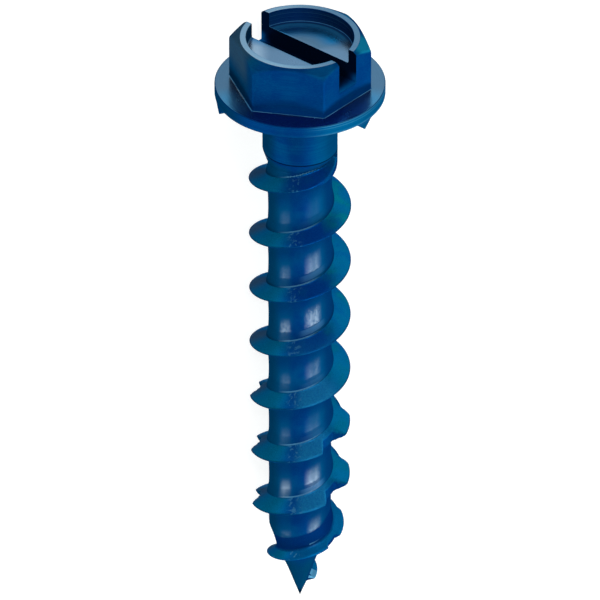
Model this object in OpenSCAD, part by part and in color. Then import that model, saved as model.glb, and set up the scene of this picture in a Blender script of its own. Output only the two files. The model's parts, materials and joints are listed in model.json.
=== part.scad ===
// Concrete screw with a slotted hex washer head, one cold-formed piece, in millimetres.
// It is drawn head up along its own axis, with the bearing face under the flange at height 0.
// It is then laid down as it comes to rest: head toward +Y, on its flange rim and a thread crest.

/* [Head] */
// Width of the hex across its flats
hex_across_flats = 6.35; // [6.2:0.05:7]
// Height of the head from the bearing face to the top of its rim
head_height = 3.29; // [2.9:0.01:4]
// Turn of the hex about the screw's axis, against the start of the thread
head_turn = -10.8; // [-30:0.1:30]
// Outer diameter of the round rim at the top of the head
rim_diameter = 6.06; // [5.8:0.02:6.18]
// Slope of the chamfer between the rim and the hex corners
corner_chamfer_angle = 36; // [25:1:45]
// Diameter of the round recess in the top of the head
recess_diameter = 5.44; // [4.6:0.02:5.6]
// Depth of the recess below the rim
recess_depth = 0.8; // [0.4:0.05:1.1]
// Fillet between the recess wall and its floor
recess_fillet = 0.12; // [0.05:0.01:0.3]

/* [Driver slot] */
// Width of the slot
slot_width = 1.3; // [0.8:0.05:1.6]
// Depth of the slot below the rim
slot_depth = 1.75; // [1.3:0.05:2.1]

/* [Flange] */
// Outer diameter of the washer flange
flange_diameter = 8.68; // [8.3:0.01:10]
// Thickness of the flange
flange_thickness = 0.6; // [0.4:0.05:0.9]
// Rounding of the flange's two rim edges
flange_round = 0.1; // [0.04:0.01:0.18]

/* [Nibs under the flange] */
// Number of nibs that bite into the seat
nib_count = 3; // [2:1:6]
// Height of a nib below the bearing face
nib_height = 0.45; // [0.2:0.05:0.6]
// Width of a nib at the bearing face
nib_width = 1.0; // [0.5:0.05:1.4]
// Length of a nib, inward from the rim
nib_length = 1.5; // [0.8:0.05:1.8]

/* [Shank] */
// Length from the bearing face to the point
shank_length = 31.75; // [28:0.05:40]
// Diameter of the plain collar under the head
collar_diameter = 3.83; // [3.6:0.01:4.2]
// Length of the plain collar
collar_length = 3.42; // [2.5:0.01:5]
// Length of the taper from the collar down to the root
collar_taper = 0.47; // [0.3:0.01:0.8]
// Fillet between the collar and the bearing face
neck_fillet = 0.25; // [0.1:0.01:0.4]
// Full angle of the cone point
point_angle = 37; // [30:1:50]

/* [Thread] */
// Diameter over the thread crests
thread_diameter = 5.25; // [4.8:0.01:5.8]
// Diameter of the root between the threads
root_diameter = 3.26; // [3:0.01:3.5]
// Rise of the thread in one turn
thread_pitch = 3.375; // [2.9:0.005:3.8]
// Angle of each flank from square to the axis
flank_angle = 20; // [15:1:26]
// Width of the crest
crest_width = 0.1; // [0.06:0.01:0.2]
// Reach of the fillet at the foot of each flank
root_fillet = 0.22; // [0.1:0.01:0.35]
// Hollow of the root, deepest midway between two flanks
root_hollow = 0.1; // [0:0.01:0.2]
// Turn over which the thread rises from the collar to its full height
run_in_angle = 83; // [40:1:120]
// Length over which the crests draw in toward the point
crest_taper_length = 7.1; // [5:0.05:10]
// Length of bare point below the thread's cut end
bare_point = 1.2; // [0.8:0.05:2]

/* [Notches in the lower turns] */
// Places of the notches round their first turn, clockwise from the start of the thread
notch_places = [50, 190, 332]; // [0:1:360]
// Depth of each of those notches below the full thread diameter
notch_depths = [0.62, 0.42, 0.4]; // [0:0.01:0.7]
// Angle by which the notches fall back in each further turn
notch_drift = 5; // [0:0.5:12]
// Width of a notch at the crest, as an angle
notch_angle = 40; // [24:1:50]
// Width of a notch at its floor, as an angle
notch_floor_angle = 20; // [6:1:22]
// Length of the upper thread that has no notches, down from the start of the thread
plain_thread_length = 15; // [8:0.1:20]

/* [Hidden] */
$fn = 96;

// Columns of points round the shank, and the blue of the coating
columns = 40;
coating = [0.0, 0.23, 0.45];
// Overlap of joined solids and run-over of cuts
overlap = 0.15;

hex_across_corners = hex_across_flats / cos(30);
rim_r = rim_diameter / 2;
recess_r = recess_diameter / 2;
flange_r = flange_diameter / 2;
collar_r = collar_diameter / 2;
thread_r = thread_diameter / 2;
root_r = root_diameter / 2;
flat_turn = head_turn - 30;

// Thread section, as distances along the axis from the middle of the crest
crest_half = crest_width / 2;
flank_run = (thread_r - root_r) * tan(flank_angle);
fillet_run = root_fillet * tan(flank_angle);
flank_foot = crest_half + flank_run;
foot_end = flank_foot + fillet_run;
root_middle = thread_pitch / 2;
root_step = (foot_end + root_middle) / 2;
section = [
    root_middle, root_step, foot_end, flank_foot - fillet_run, crest_half + flank_run / 2, crest_half,
    -crest_half, -crest_half - flank_run / 2, fillet_run - flank_foot, -foot_end, -root_step
];
section_rows = len(section);

// The threaded shank starts a little way up inside the collar
shank_top = -collar_length + foot_end + overlap;
crest_taper_start = shank_length - crest_taper_length;
thread_turns = (shank_length - bare_point - collar_length) / thread_pitch;
notched_from = plain_thread_length / thread_pitch;
first_turn = -2 - ceil(shank_top / thread_pitch + collar_length / thread_pitch);
last_turn = ceil(shank_length / thread_pitch) + 1;
rows = section_rows * (last_turn - first_turn);

function clamp(value, low, high) = max(low, min(high, value));
function ease(t) = let (c = clamp(t, 0, 1)) c * c * (3 - 2 * c);
// Rises smoothly from zero to its own value, so that a flank meets the root in a fillet
function fillet(rise, reach) =
    rise >= reach ? rise : rise <= -reach ? 0 : pow(rise + reach, 2) / (4 * reach);

// Height of the crest's middle after a number of turns down from the collar
function crest_height(turns) = -collar_length - thread_pitch * turns;
// Radius of the root, which becomes the cone of the point
function core_radius(height) = min(root_r, (height + shank_length) * tan(point_angle / 2));
// Crest radius, drawn in toward the point along a parabola
function crest_radius(turns) =
    let (t = max(0, -crest_height(turns) - crest_taper_start) / crest_taper_length)
    thread_r * (1 - t * t);
// Smallest angle between two directions
function angle_between(a, b) = abs((a - b + 900) % 360 - 180);
// Depth of the notches at a place on the crest
function notch_cut(turns) =
    turns < notched_from ? 0 :
    max([for (k = [0 : len(notch_places) - 1])
        let (
            place = notch_places[k] - notch_drift * (turns - notched_from),
            off = angle_between(360 * (turns - floor(turns)), place)
        )
        notch_depths[k] * clamp((notch_angle / 2 - off) / (notch_angle - notch_floor_angle) * 2, 0, 1)]);
// Outermost radius that the thread reaches: it runs in from the collar and stops at its cut end
function thread_limit(turns) =
    turns < 0 || turns > thread_turns ? 0 :
    min(collar_r + (thread_r - collar_r) * ease(360 * turns / run_in_angle),
        crest_radius(turns),
        thread_r - notch_cut(turns));
// Radius of the shank at a distance from the crest's middle, measured along the axis
function shank_radius(turns, off, height) =
    let (
        core = core_radius(height),
        hollow = root_hollow * pow(1 - abs(off) / root_middle, 2) * core / root_r,
        flank = crest_radius(turns) - max(0, abs(off) - crest_half) / tan(flank_angle),
        foot = core + hollow
    )
    foot + fillet(min(flank, thread_limit(turns)) - foot, root_fillet);

// Points of the shank: each column runs down it, and each row follows the thread's helix
shank_points = [
    for (column = [0 : columns - 1], row = [0 : rows - 1])
        let (
            turns = first_turn + floor(row / section_rows) + column / columns,
            off = section[row % section_rows],
            height = crest_height(turns) + off,
            angle = -360 * column / columns,
            radius = height >= shank_top ? root_r :
                height <= -shank_length ? 0 : shank_radius(turns, off, height)
        )
        [radius * cos(angle), radius * sin(angle), clamp(height, -shank_length, shank_top)]
];
// The column after the last is the first one, a whole turn further down
function point_at(row, column) =
    column < columns ? column * rows + row : min(row + section_rows, rows - 1);
function is_face(f) =
    let (a = shank_points[f[0]], b = shank_points[f[1]], c = shank_points[f[2]])
    a != b && b != c && c != a;
shank_faces = concat(
    [[for (column = [0 : columns - 1]) point_at(0, column)]],
    [
        for (column = [0 : columns - 1], row = [0 : rows - 2])
            let (
                a = point_at(row, column),
                b = point_at(row, column + 1),
                c = point_at(row + 1, column + 1),
                d = point_at(row + 1, column)
            )
            for (f = [[a, c, b], [a, d, c]])
                if (is_face(f)) f
    ]
);

// Lying down: the tilt at which the flange rim and the furthest-reaching crest touch the floor together
rest_tilt = atan(min([for (p = shank_points) if (p[2] < -collar_length) (flange_r - p[1]) / -p[2]]));
rest_height = flange_r * cos(rest_tilt);
head_end = head_height * cos(rest_tilt) + rim_r * sin(rest_tilt);
point_end = -shank_length * cos(rest_tilt);
rest_shift = -(head_end + point_end) / 2;

// Hex head with its conical corner chamfer
module hex_block() {
    intersection() {
        rotate(head_turn)
            cylinder(d = hex_across_corners, h = head_height, $fn = 6);
        rotate_extrude()
            polygon([
                [0, 0],
                [rim_r + head_height / tan(corner_chamfer_angle), 0],
                [rim_r, head_height],
                [0, head_height]
            ]);
    }
}

// Round recess with a filleted floor, run over the top of the head
module recess() {
    translate([0, 0, head_height - recess_depth])
        rotate_extrude() {
            square([recess_r - recess_fillet, recess_depth + overlap]);
            translate([0, recess_fillet])
                square([recess_r, recess_depth - recess_fillet + overlap]);
            translate([recess_r - recess_fillet, recess_fillet])
                intersection() {
                    circle(recess_fillet);
                    translate([0, -recess_fillet])
                        square(recess_fillet);
                }
        }
}

// Driver slot, straight across the head from flat to flat
module driver_slot() {
    slot_length = hex_across_corners + 2 * overlap;
    rotate(flat_turn)
        translate([-slot_length / 2, -slot_width / 2, head_height - slot_depth])
            cube([slot_length, slot_width, slot_depth + overlap]);
}

// Washer flange with both rim edges rounded
module flange() {
    rotate_extrude() {
        square([flange_r - flange_round, flange_thickness]);
        translate([0, flange_round])
            square([flange_r, flange_thickness - 2 * flange_round]);
        for (height = [flange_round, flange_thickness - flange_round])
            translate([flange_r - flange_round, height])
                circle(flange_round);
    }
}

// Ridge nibs across the bearing face, flush with the flange's rim
module nibs() {
    intersection() {
        for (k = [0 : nib_count - 1])
            rotate(flat_turn + 360 * k / nib_count)
                translate([flange_r - nib_length, 0, 0])
                    rotate([90, 0, 90])
                        linear_extrude(nib_length + overlap)
                            polygon([
                                [-nib_width / 2, overlap],
                                [-nib_width / 2, 0],
                                [0, -nib_height],
                                [nib_width / 2, 0],
                                [nib_width / 2, overlap]
                            ]);
        translate([0, 0, -nib_height])
            cylinder(r = flange_r, h = nib_height + flange_thickness - flange_round);
    }
}

// Plain collar with its neck fillet, and a taper that runs on a little way inside the root
module collar() {
    taper_slope = (collar_r - root_r) / collar_taper;
    taper_end = collar_length + collar_taper + overlap / taper_slope;
    rotate_extrude() {
        polygon([
            [0, overlap],
            [collar_r, overlap],
            [collar_r, -collar_length],
            [root_r - overlap, -taper_end],
            [0, -taper_end]
        ]);
        difference() {
            translate([0, -neck_fillet])
                square([collar_r + neck_fillet, neck_fillet + overlap]);
            translate([collar_r + neck_fillet, -neck_fillet])
                circle(neck_fillet);
        }
    }
}

// Threaded shank and point, one closed surface
module threaded_shank() {
    polyhedron(points = shank_points, faces = shank_faces);
}

// The whole screw, laid down
module screw() {
    color(coating)
        translate([0, rest_shift, rest_height])
            rotate([rest_tilt - 90, 0, 0]) {
                difference() {
                    hex_block();
                    recess();
                    driver_slot();
                }
                flange();
                nibs();
                collar();
                threaded_shank();
            }
}

screw();
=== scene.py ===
import json
import math

import bmesh
import bpy
import numpy as np
from bpy.props import FloatProperty, FloatVectorProperty, IntProperty, PointerProperty
from mathutils import Matrix, Vector


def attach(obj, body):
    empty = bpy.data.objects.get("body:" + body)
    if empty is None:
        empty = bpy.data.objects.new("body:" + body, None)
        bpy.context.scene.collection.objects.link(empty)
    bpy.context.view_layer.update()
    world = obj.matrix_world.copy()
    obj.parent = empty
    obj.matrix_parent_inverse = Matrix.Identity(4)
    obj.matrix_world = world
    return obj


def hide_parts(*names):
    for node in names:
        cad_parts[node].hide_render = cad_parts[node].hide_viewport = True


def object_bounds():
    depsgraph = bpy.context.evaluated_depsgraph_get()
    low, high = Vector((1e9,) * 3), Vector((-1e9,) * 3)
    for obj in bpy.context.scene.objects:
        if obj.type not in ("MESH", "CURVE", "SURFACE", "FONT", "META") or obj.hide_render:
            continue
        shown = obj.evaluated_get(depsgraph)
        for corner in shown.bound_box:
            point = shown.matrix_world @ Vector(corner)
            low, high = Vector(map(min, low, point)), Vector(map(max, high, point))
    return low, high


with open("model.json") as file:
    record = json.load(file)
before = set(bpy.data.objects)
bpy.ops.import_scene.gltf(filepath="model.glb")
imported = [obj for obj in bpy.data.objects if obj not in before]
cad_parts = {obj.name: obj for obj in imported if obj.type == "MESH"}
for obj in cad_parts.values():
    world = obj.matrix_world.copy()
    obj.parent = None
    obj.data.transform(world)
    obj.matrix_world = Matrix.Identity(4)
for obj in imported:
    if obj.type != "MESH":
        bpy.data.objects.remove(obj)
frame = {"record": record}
CAD_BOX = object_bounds()

bl_info = {
    "name": "Concrete screw",
    "version": (1, 0, 0),
    "blender": (4, 5, 0),
    "location": "3D View > Sidebar > Screw",
    "description": "Builds a blue-coated concrete screw with a slotted hex washer head, and a studio for it",
    "category": "Add Mesh",
}

MM = 0.001
# Doubles closer than this are the same point of two neighbouring surfaces
WELD = 3e-7
# Angles closer than this are the same
SAME_ANGLE = 1e-6
# A point nearer to the axis than this has no side of its own
NEAR_AXIS = 0.01 * MM
# The floor lies this far below the part's box
FLOOR_DROP = 0.02 * MM
# Shares along a straight run of a profile where a row lies
RUN_ROWS = (0.1, 0.5, 0.9)
# How thick the gloss lies in the root, as shares of the way from the point to the collar
GLOSS_ALONG = (
    (0.0, 0.8), (0.09, 0.9), (0.22, 1.0), (0.29, 0.3), (0.36, 0.08), (0.43, 0.18), (0.5, 0.36),
    (0.57, 0.8), (0.66, 0.92), (0.78, 0.42), (0.86, 0.15), (0.93, 0.05),
)
# The two ends of that way along the row, in millimetres
GLOSS_ENDS = (-14, 10)
# Masks that tell the coating's regions apart, on the faces and on the points of the mesh
FACE_MASKS = ("top_faces", "slot", "foot_lines", "recess_wall")
POINT_MASKS = ("flanks", "root", "chamfer", "last_band", "side", "front", "gap")
# Where the coating changes: what it changes with, then where the change starts and where it is complete.
# Along, height, radius, across and the distances from the crease and the slot are in millimetres. Side,
# front and gap are the masks of those names, aside is how far to either side, and the rest are noises.
PLACES = {
    "upper_flanks": ("along", -3, 0),
    "lower_flanks": ("along", 0.8, -2),
    "above_last_flank": ("along", -12.5, -11.2),
    "last_flank": ("along", -11.2, -12.5),
    "painted_shade_point": ("along", -14.2, -15.5),
    "tip": ("along", -16.9, -17.35),
    "rough_start": ("along", -3.6, -2.8),
    "rough_end": ("along", 3, 2.2),
    "dull_start": ("along", 2.2, 3.4),
    "dull_end": ("along", 6.2, 5.2),
    "faint_start": ("along", 5.6, 6.6),
    "last_gap": ("along", -9.5, -11.5),
    "strip_end": ("along", -12.8, -11.8),
    "gloss_end": ("along", -14.2, -13.2),
    "head": ("height", 0, 0.3),
    "neck": ("height", 0, -0.2),
    "shank": ("height", -3.2, -3.6),
    "rim_top": ("height", 0.52, 0.58),
    "rim_bottom": ("height", 0.06, 0.02),
    "hex_foot": ("height", 0.62, 0.7),
    "below_mid_hex": ("height", 1.6, 0.9),
    "upper_hex": ("height", 1.2, 2.4),
    "slot_walls": ("height", 1.6, 2.2),
    "recess_outer": ("radius", 1, 2),
    "recess_dull": ("radius", 1.9, 2.5),
    "recess_edge": ("radius", 2.5, 2.64),
    "inside_recess": ("radius", 2.72, 2.7),
    "outside_recess": ("radius", 2.7, 2.72),
    "crest_edge": ("radius", 2.54, 2.6),
    "inside_ring": ("radius", 3.3, 3.2),
    "flange": ("radius", 3.2, 3.4),
    "inside_hex": ("radius", 3.9, 3.8),
    "rim": ("radius", 4.2, 4.3),
    "recess_left": ("across", -1.4, -2.3),
    "die_left": ("across", -0.8, -0.4),
    "die_right": ("across", 0.2, -0.1),
    "crease": ("from_crease", 0.05, 0.02),
    "slot_open": ("from_slot", 2.6, 3.3),
    "slot_exit": ("from_slot", 2.9, 3.3),
    "flank_right": ("side", 0.5, 0.9),
    "flank_left": ("side", -0.3, -0.7),
    "flank_front_from": ("side", -0.55, -0.1),
    "flank_front_to": ("side", 0.9, 0.5),
    "flank_lower_from": ("side", -0.25, 0.1),
    "flank_lower_to": ("side", 0.9, 0.6),
    "flank_last_from": ("side", -0.5, -0.1),
    "root_right": ("side", 0.65, 0.9),
    "painted_shade_side": ("side", -0.55, -0.9),
    "painted_reflection_side": ("side", -0.6, -0.9),
    "chamfer_right": ("side", -0.8, 0.9),
    "hex_left": ("side", -0.7, -0.85),
    "hex_foot_from": ("side", -0.75, -0.4),
    "wall_right": ("side", -0.1, 0.6),
    "rim_right": ("side", -0.05, 0.45),
    "rim_rings": ("side", 0, 0.4),
    "ring_left": ("side", 0.7, -0.5),
    "neck_right": ("side", 0.1, 0.7),
    "strip_from": ("side", -0.1, 0.2),
    "strip_to": ("side", 0.8, 0.6),
    "left_half": ("side", 0, -0.2),
    "right_half": ("side", 0, 0.2),
    "gloss_right": ("side", -0.2, 0.1),
    "root_sides": ("aside", 0.15, 0.45),
    "neck_front": ("aside", 0.5, 0.1),
    "gloss_front": ("aside", 0.74, 0.5),
    "painted_reflection_from": ("front", -0.6, -0.3),
    "painted_reflection_to": ("front", 0.45, -0.1),
    "hex_back": ("front", 0.75, 0.4),
    "rim_front": ("front", -0.2, 0.3),
    "flange_front": ("front", 0.45, 0.8),
    "flange_beside_from": ("front", 0.1, 0.45),
    "flange_beside_to": ("front", 0.85, 0.6),
    "recess_front": ("front", -0.3, 0.1),
    "recess_back": ("front", -0.1, -0.5),
    "under_thread": ("gap", 0.45, 0.72),
    "band_from": ("gap", 0.15, 0.17),
    "band_to": ("gap", 0.265, 0.245),
    "gloss_from": ("gap", 0.2, 0.28),
    "cloud_light": ("cloud", 0.4, 0.75),
    "cloud_dark": ("cloud", 0.5, 0.3),
    "patch_green": ("cloud", 0.48, 0.64),
    "patch_blue": ("cloud", 0.48, 0.34),
    "grainy": ("grain", 0.35, 0.65),
    "pits": ("grain", 0.38, 0.56),
    "rings_light": ("rings", 0.5, 0.7),
    "rings_dark": ("rings", 0.5, 0.3),
    "rings_worn": ("rings", 0.5, 0.75),
    "specks_light": ("specks", 0.5, 0.7),
    "specks_dark": ("specks", 0.5, 0.3),
    "die_marks": ("scars", 0.5, 0.66),
}
# Tones that are laid over the coating: a linear colour or one of the look's own, and how strongly it covers.
# Many are painted light, painted shade or painted reflections, as marked below.
TONES = {
    "cloud_light": ((0.0, 0.075, 0.19), 0.5),
    "cloud_dark": ((0.0, 0.02, 0.13), 0.3),
    # Painted light: bluer fronts of the flanks.
    "flank_front": ((0.0, 0.057, 0.35), 0.8),
    "flank_green": ((0.0, 0.18, 0.26), 1.0),
    "flank_blue": ((0.0, 0.085, 0.3), 0.6),
    # Painted shade on the left flanks, and a painted brownish reflection on the far left ones.
    "flank_left": ((0.0, 0.075, 0.145), 0.85),
    "flank_painted_reflection": ((0.045, 0.07, 0.09), 0.8),
    # Painted light: paler fronts of the lower flanks, with grain.
    "flank_lower": ((0.01, 0.2, 0.44), 1.0),
    "flank_last": ((0.0, 0.12, 0.32), 0.9),
    "crest_edge": ("navy", 0.3),
    # Painted sheen at the root's sides, round its highlights, and painted shade under each thread.
    "root_sides": ((0.0, 0.057, 0.15), 0.8),
    "root_shade": ((0.0, 0.022, 0.12), 0.5),
    # Painted shade at the root's right edge.
    "root_right": ((0.0, 0.02, 0.11), 0.6),
    # Painted reflection on the sloping band of the root.
    "root_strip": ((0.04, 0.14, 0.3), 0.6),
    # Painted shade beside the last flank.
    "last_band": ((0.0, 0.016, 0.1), 0.9),
    # Painted shade on the left side and at the point.
    "painted_shade": ((0.0, 0.038, 0.095), 1.0),
    "tip": ("navy", 1.0),
    # Painted light on the chamfers at the hex corners, strongest on the right.
    "chamfer": ((0.005, 0.19, 0.34), 1.0),
    # Painted reflection on the upper left of the hex.
    "hex_left": ((0.03, 0.07, 0.11), 0.75),
    # Painted light at the foot of the hex, against its shade.
    "hex_foot": ((0.0, 0.065, 0.26), 0.5),
    # Painted shade on the recess wall.
    "recess_wall": ("navy", 1.0),
    # Painted light: the rim is teal on its right, where its turned rings also carry a painted highlight.
    "rim_teal": ((0.0, 0.085, 0.2), 1.0),
    "rim_rings": ((0.02, 0.19, 0.33), 0.5),
    # Painted shade on the front roundings of the rim.
    "rim_top": ((0.0, 0.02, 0.12), 0.6),
    "rim_bottom": ((0.0, 0.03, 0.14), 0.5),
    "top_faces": ("pale_blue", 1.0),
    # Painted reflections on the flange's top: dark in front of the hex, pale beside it.
    "flange_front": ((0.0, 0.115, 0.42), 0.8),
    "flange_beside": ((0.06, 0.3, 0.55), 0.5),
    # Painted reflection: the ring is paler on the left.
    "ring": ((0.22, 0.34, 0.45), 1.0),
    # Painted reflections on the recess floor: paler at the front and left, teal and then dark toward the
    # back wall.
    "recess_front": ((0.17, 0.26, 0.38), 0.6),
    "recess_left": ((0.33, 0.45, 0.57), 0.8),
    "recess_back": ((0.0, 0.16, 0.4), 0.85),
    "recess_edge": ((0.0, 0.025, 0.12), 0.9),
    "turned_worn": ("worn", 0.2),
    "speck_light": ((0.02, 0.2, 0.38), 1.0),
    "speck_dark": ("navy", 1.0),
    # Painted light on the collar's right and painted shade on its front.
    "neck_right": ((0.0, 0.07, 0.15), 0.55),
    "neck_front": ((0.0, 0.015, 0.1), 0.25),
    "turned_light": ((0.0, 0.11, 0.26), 0.12),
    "turned_dark": ((0.0, 0.015, 0.09), 0.15),
    # Painted shade in the collar's crease.
    "crease": ("navy", 0.85),
    "die_mark": ((0.06, 0.27, 0.48), 0.6),
    # Painted highlights along the feet of the hex, the recess wall and the flanks, and on the thread's cut
    # end.
    "foot_highlight": ((0.1, 0.34, 0.56), 0.6),
    # Painted shade in the slot, and painted light where its floor opens out.
    "slot": ("navy", 1.0),
    "slot_exit": ((0.0, 0.1, 0.33), 0.8),
}
# The side panels stand this many degrees apart, and at a distance of one metre they touch edge to edge
SIDE_STEP = 23
SIDE_WIDTH = 2 * math.tan(math.radians(SIDE_STEP / 2))
# Rows of soft panels: turn of the first from the viewer's side round the screw, step to the next, and rise
# along the screw, in degrees, then distance, width and height in metres, brightness and colour
PANELS = {
    "front_panel": {
        "count": 1, "turn": 6, "step": 0, "rise": 46, "distance": 0.5, "width": 0.3, "height": 0.3,
        "brightness": 5.2, "colour": (1, 1, 1),
    },
    "right_panel": {
        "count": 3, "turn": 26, "step": SIDE_STEP, "rise": -28.5, "distance": 1, "width": SIDE_WIDTH,
        "height": 0.23, "brightness": 12.5, "colour": (0.88, 1, 0.98),
    },
    "left_panel": {
        "count": 2, "turn": -49, "step": -SIDE_STEP, "rise": -27.5, "distance": 1, "width": SIDE_WIDTH,
        "height": 0.21, "brightness": 10.5, "colour": (0.88, 1, 0.98),
    },
}


def length(name, description, millimetres):
    """A size property, given in millimetres and kept in metres."""
    return FloatProperty(
        name=name, description=description, default=millimetres * MM, min=0, unit="LENGTH", precision=5
    )


def angle(name, description, degrees):
    """An angle property, given in degrees and kept in radians."""
    return FloatProperty(name=name, description=description, default=math.radians(degrees), unit="ROTATION")


def colour(name, description, rgb):
    """A linear colour property."""
    return FloatVectorProperty(
        name=name, description=description, default=rgb, min=0, max=1, subtype="COLOR", size=3
    )


def share(name, description, value, top=1.0):
    """A plain number from nothing to top."""
    return FloatProperty(name=name, description=description, default=value, min=0, max=top)


class ScrewSizes(bpy.types.PropertyGroup):
    """Sizes of the screw, measured from its bearing face along its own axis."""

    hex_across_flats: length("Hex", "Width of the hex across its flats", 6.35)
    hex_corner_round: length("Hex corner", "Rounding of the hex's six corners", 0.11)
    head_height: length("Head height", "From the bearing face to the top of the rim", 3.29)
    head_turn: angle("Head turn", "Turn of the hex against the start of the thread", -10.8)
    rim_diameter: length("Rim", "Outer diameter of the round rim", 6.06)
    corner_chamfer_angle: angle("Corner chamfer", "Slope between the rim and the hex corners", 32)
    recess_diameter: length("Recess", "Diameter of the recess in the head", 5.44)
    recess_depth: length("Recess depth", "Depth of the recess below the rim", 0.8)
    recess_fillet: length("Recess fillet", "Fillet between the recess's wall and floor", 0.07)
    slot_width: length("Slot", "Width of the driver slot", 1.3)
    slot_depth: length("Slot depth", "Depth of the slot below the rim", 1.75)
    edge_round: length("Edges", "Rounding of the head's cut edges", 0.035)
    flange_diameter: length("Flange", "Diameter of the washer flange", 8.66)
    flange_thickness: length("Flange thickness", "Thickness of the flange", 0.6)
    flange_round: length("Flange rim", "Rounding of the flange's rim edges", 0.045)
    hex_foot_fillet: length("Hex foot", "Fillet where the hex meets the flange", 0.06)
    nib_count: IntProperty(
        name="Nibs", description="Number of nibs under the flange", default=3, min=2, max=6
    )
    nib_height: length("Nib height", "Height of a nib below the bearing face", 0.45)
    nib_width: length("Nib width", "Width of a nib at the bearing face", 1.0)
    nib_length: length("Nib length", "Length of a nib, inward from the rim", 1.5)
    shank_length: length("Shank", "Length from the bearing face to the point", 31.75)
    collar_diameter: length("Collar", "Diameter of the plain collar", 3.83)
    collar_length: length("Collar length", "Length of the plain collar", 3.42)
    collar_taper: length("Collar taper", "Length of the taper below the collar", 0.57)
    collar_lead: length("Collar lead", "Height of the taper's start above the collar's end", 0.14)
    taper_angle: angle("Taper angle", "Slope of the taper below the collar", 18)
    neck_fillet: length("Neck fillet", "Fillet between the collar and the bearing face", 0.25)
    point_angle: angle("Point", "Full angle of the cone point", 37)
    thread_diameter: length("Thread", "Diameter over the thread crests", 5.25)
    root_diameter: length("Root", "Diameter of the root between the threads", 3.26)
    thread_pitch: length("Pitch", "Rise of the thread in one turn", 3.368)
    thread_lead: length("Thread lead", "Distance of the thread's start below the collar", 0.085)
    flank_angle: angle("Flank", "Angle of each flank from square to the axis", 20)
    wide_flank_angle: angle("Wide flank", "Angle of the flank toward the head on the lower turns", 27)
    wide_flank_start: length("Wide start", "Length of the upper thread with equal flanks", 11.4)
    crest_width: length("Crest", "Width of the crest", 0.1)
    root_fillet: length("Root fillet", "Reach of the fillet at the foot of each flank", 0.05)
    root_hollow: length("Root hollow", "Hollow of the root midway between two flanks", 0.1)
    foot_band: length("Foot band", "Width of the sloping band of the root beside each flank", 0.5)
    foot_step: length("Foot step", "Width of the level strip between the band and the flank", 0.07)
    foot_rise: length("Foot rise", "Rise of the sloping band", 0.06)
    run_in_angle: angle("Run-in", "Turn over which the thread rises from the collar", 83)
    crest_taper_length: length("Crest taper", "Length over which the crests draw in", 7.1)
    bare_point: length("Bare point", "Length of point below the thread's cut end", 1.2)
    notch_places: FloatVectorProperty(
        name="Notch places", description="Places of the notches round their first turn", size=3,
        default=[math.radians(place) for place in (47, 195, 335)], unit="ROTATION",
    )
    notch_depths: FloatVectorProperty(
        name="Notch depths", description="Depth of each notch below the thread diameter", size=3,
        default=[depth * MM for depth in (0.62, 0.5, 0.4)], unit="LENGTH",
    )
    notch_drift: angle("Notch drift", "Angle by which the notches fall back in each turn", 5)
    notch_angle: angle("Notch", "Width of a notch at the crest", 40)
    notch_floor_angle: angle("Notch floor", "Width of a notch at its floor", 20)
    plain_thread_length: length("Plain thread", "Length of the upper thread without notches", 15)


class CoatingLook(bpy.types.PropertyGroup):
    """Colours and finish of the coating."""

    deep_blue: colour("Deep blue", "Colour of the coating on the sides", (0.0, 0.033, 0.155))
    # The flanks face the head: their teal is paler than the sides partly as painted light from above and
    # partly a greener tone of the coating's own.
    teal: colour("Teal", "Colour of the coating on the flanks", (0.0, 0.135, 0.31))
    pale_blue: colour("Pale blue", "Colour of the bright coating on top of the head", (0.1, 0.172, 0.26))
    # Navy is painted shade in the slot, on the recess wall and in the collar's crease, and also the colour
    # of the dark specks, the crest edges and the tip.
    navy: colour("Navy", "Colour of the coating that has pooled in the slot", (0.0, 0.004, 0.018))
    worn: colour("Worn", "Colour where the coating has worn thin", (0.16, 0.33, 0.45))
    roughness: share("Roughness", "Roughness of the coating", 0.35)
    side_metal: share("Side metal", "How much the steel shines through on the sides", 0.07)
    flank_metal: share("Flank metal", "How much the steel shines through on the flanks", 0.6)
    top_metal: share("Top metal", "How much the steel shines through on top of the head", 0.96)
    root_gloss: share("Root gloss", "Gloss of the coating that has pooled in the root", 0.12)


class StudioSetup(bpy.types.PropertyGroup):
    """Camera, light and floor."""

    view_elevation: angle("Elevation", "Angle of the view above square to the screw's axis", 34.302)
    view_distance: length("Distance", "From the camera to the screw's axis", 350)
    view_centre: length("Centre", "Depth of the picture's middle below the bearing face", 12.769)
    lens: FloatProperty(name="Lens", description="Focal length", default=406.43, unit="CAMERA")
    floor_size: length("Floor", "Side of the floor", 6000)
    floor_grey: share("Floor grey", "Grey of the floor, which takes the shadow", 0.45)
    floor_lift: share("Floor lift", "White that the floor adds where it is seen", 0.75)
    sky: share("Sky", "Brightness of the room overhead", 0.1, top=10)
    walls: share("Walls", "Brightness of the room at the horizon", 0.3, top=10)


def placement():
    """Turns points of the screw's own frame into the row frame: its axis runs up out of the bearing face."""
    seat = next(mount for mount in frame["record"]["mounts"] if mount["name"] == "bearing_face")
    up = -Vector(seat["axis"]).normalized()
    across = Vector((1, 0, 0))
    back = up.cross(across)
    origin = Vector((0, seat["pos_m"][1], seat["pos_m"][2]))
    return Matrix((across, back, up)).transposed(), origin


def unit(vectors):
    """Vectors along axis 1 at length one."""
    return vectors / np.linalg.norm(vectors, axis=1, keepdims=True)


def ease(share_along):
    """Smooth step from 0 to 1: 3t² - 2t³."""
    t = np.clip(share_along, 0, 1)
    return t * t * (3 - 2 * t)


def fillet(rise, reach):
    """Nothing below -reach, the rise itself above reach, and a parabola that joins both between."""
    joined = (rise + reach) ** 2 / (4 * reach)
    return np.where(rise >= reach, rise, np.where(rise <= -reach, 0, joined))


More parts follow.
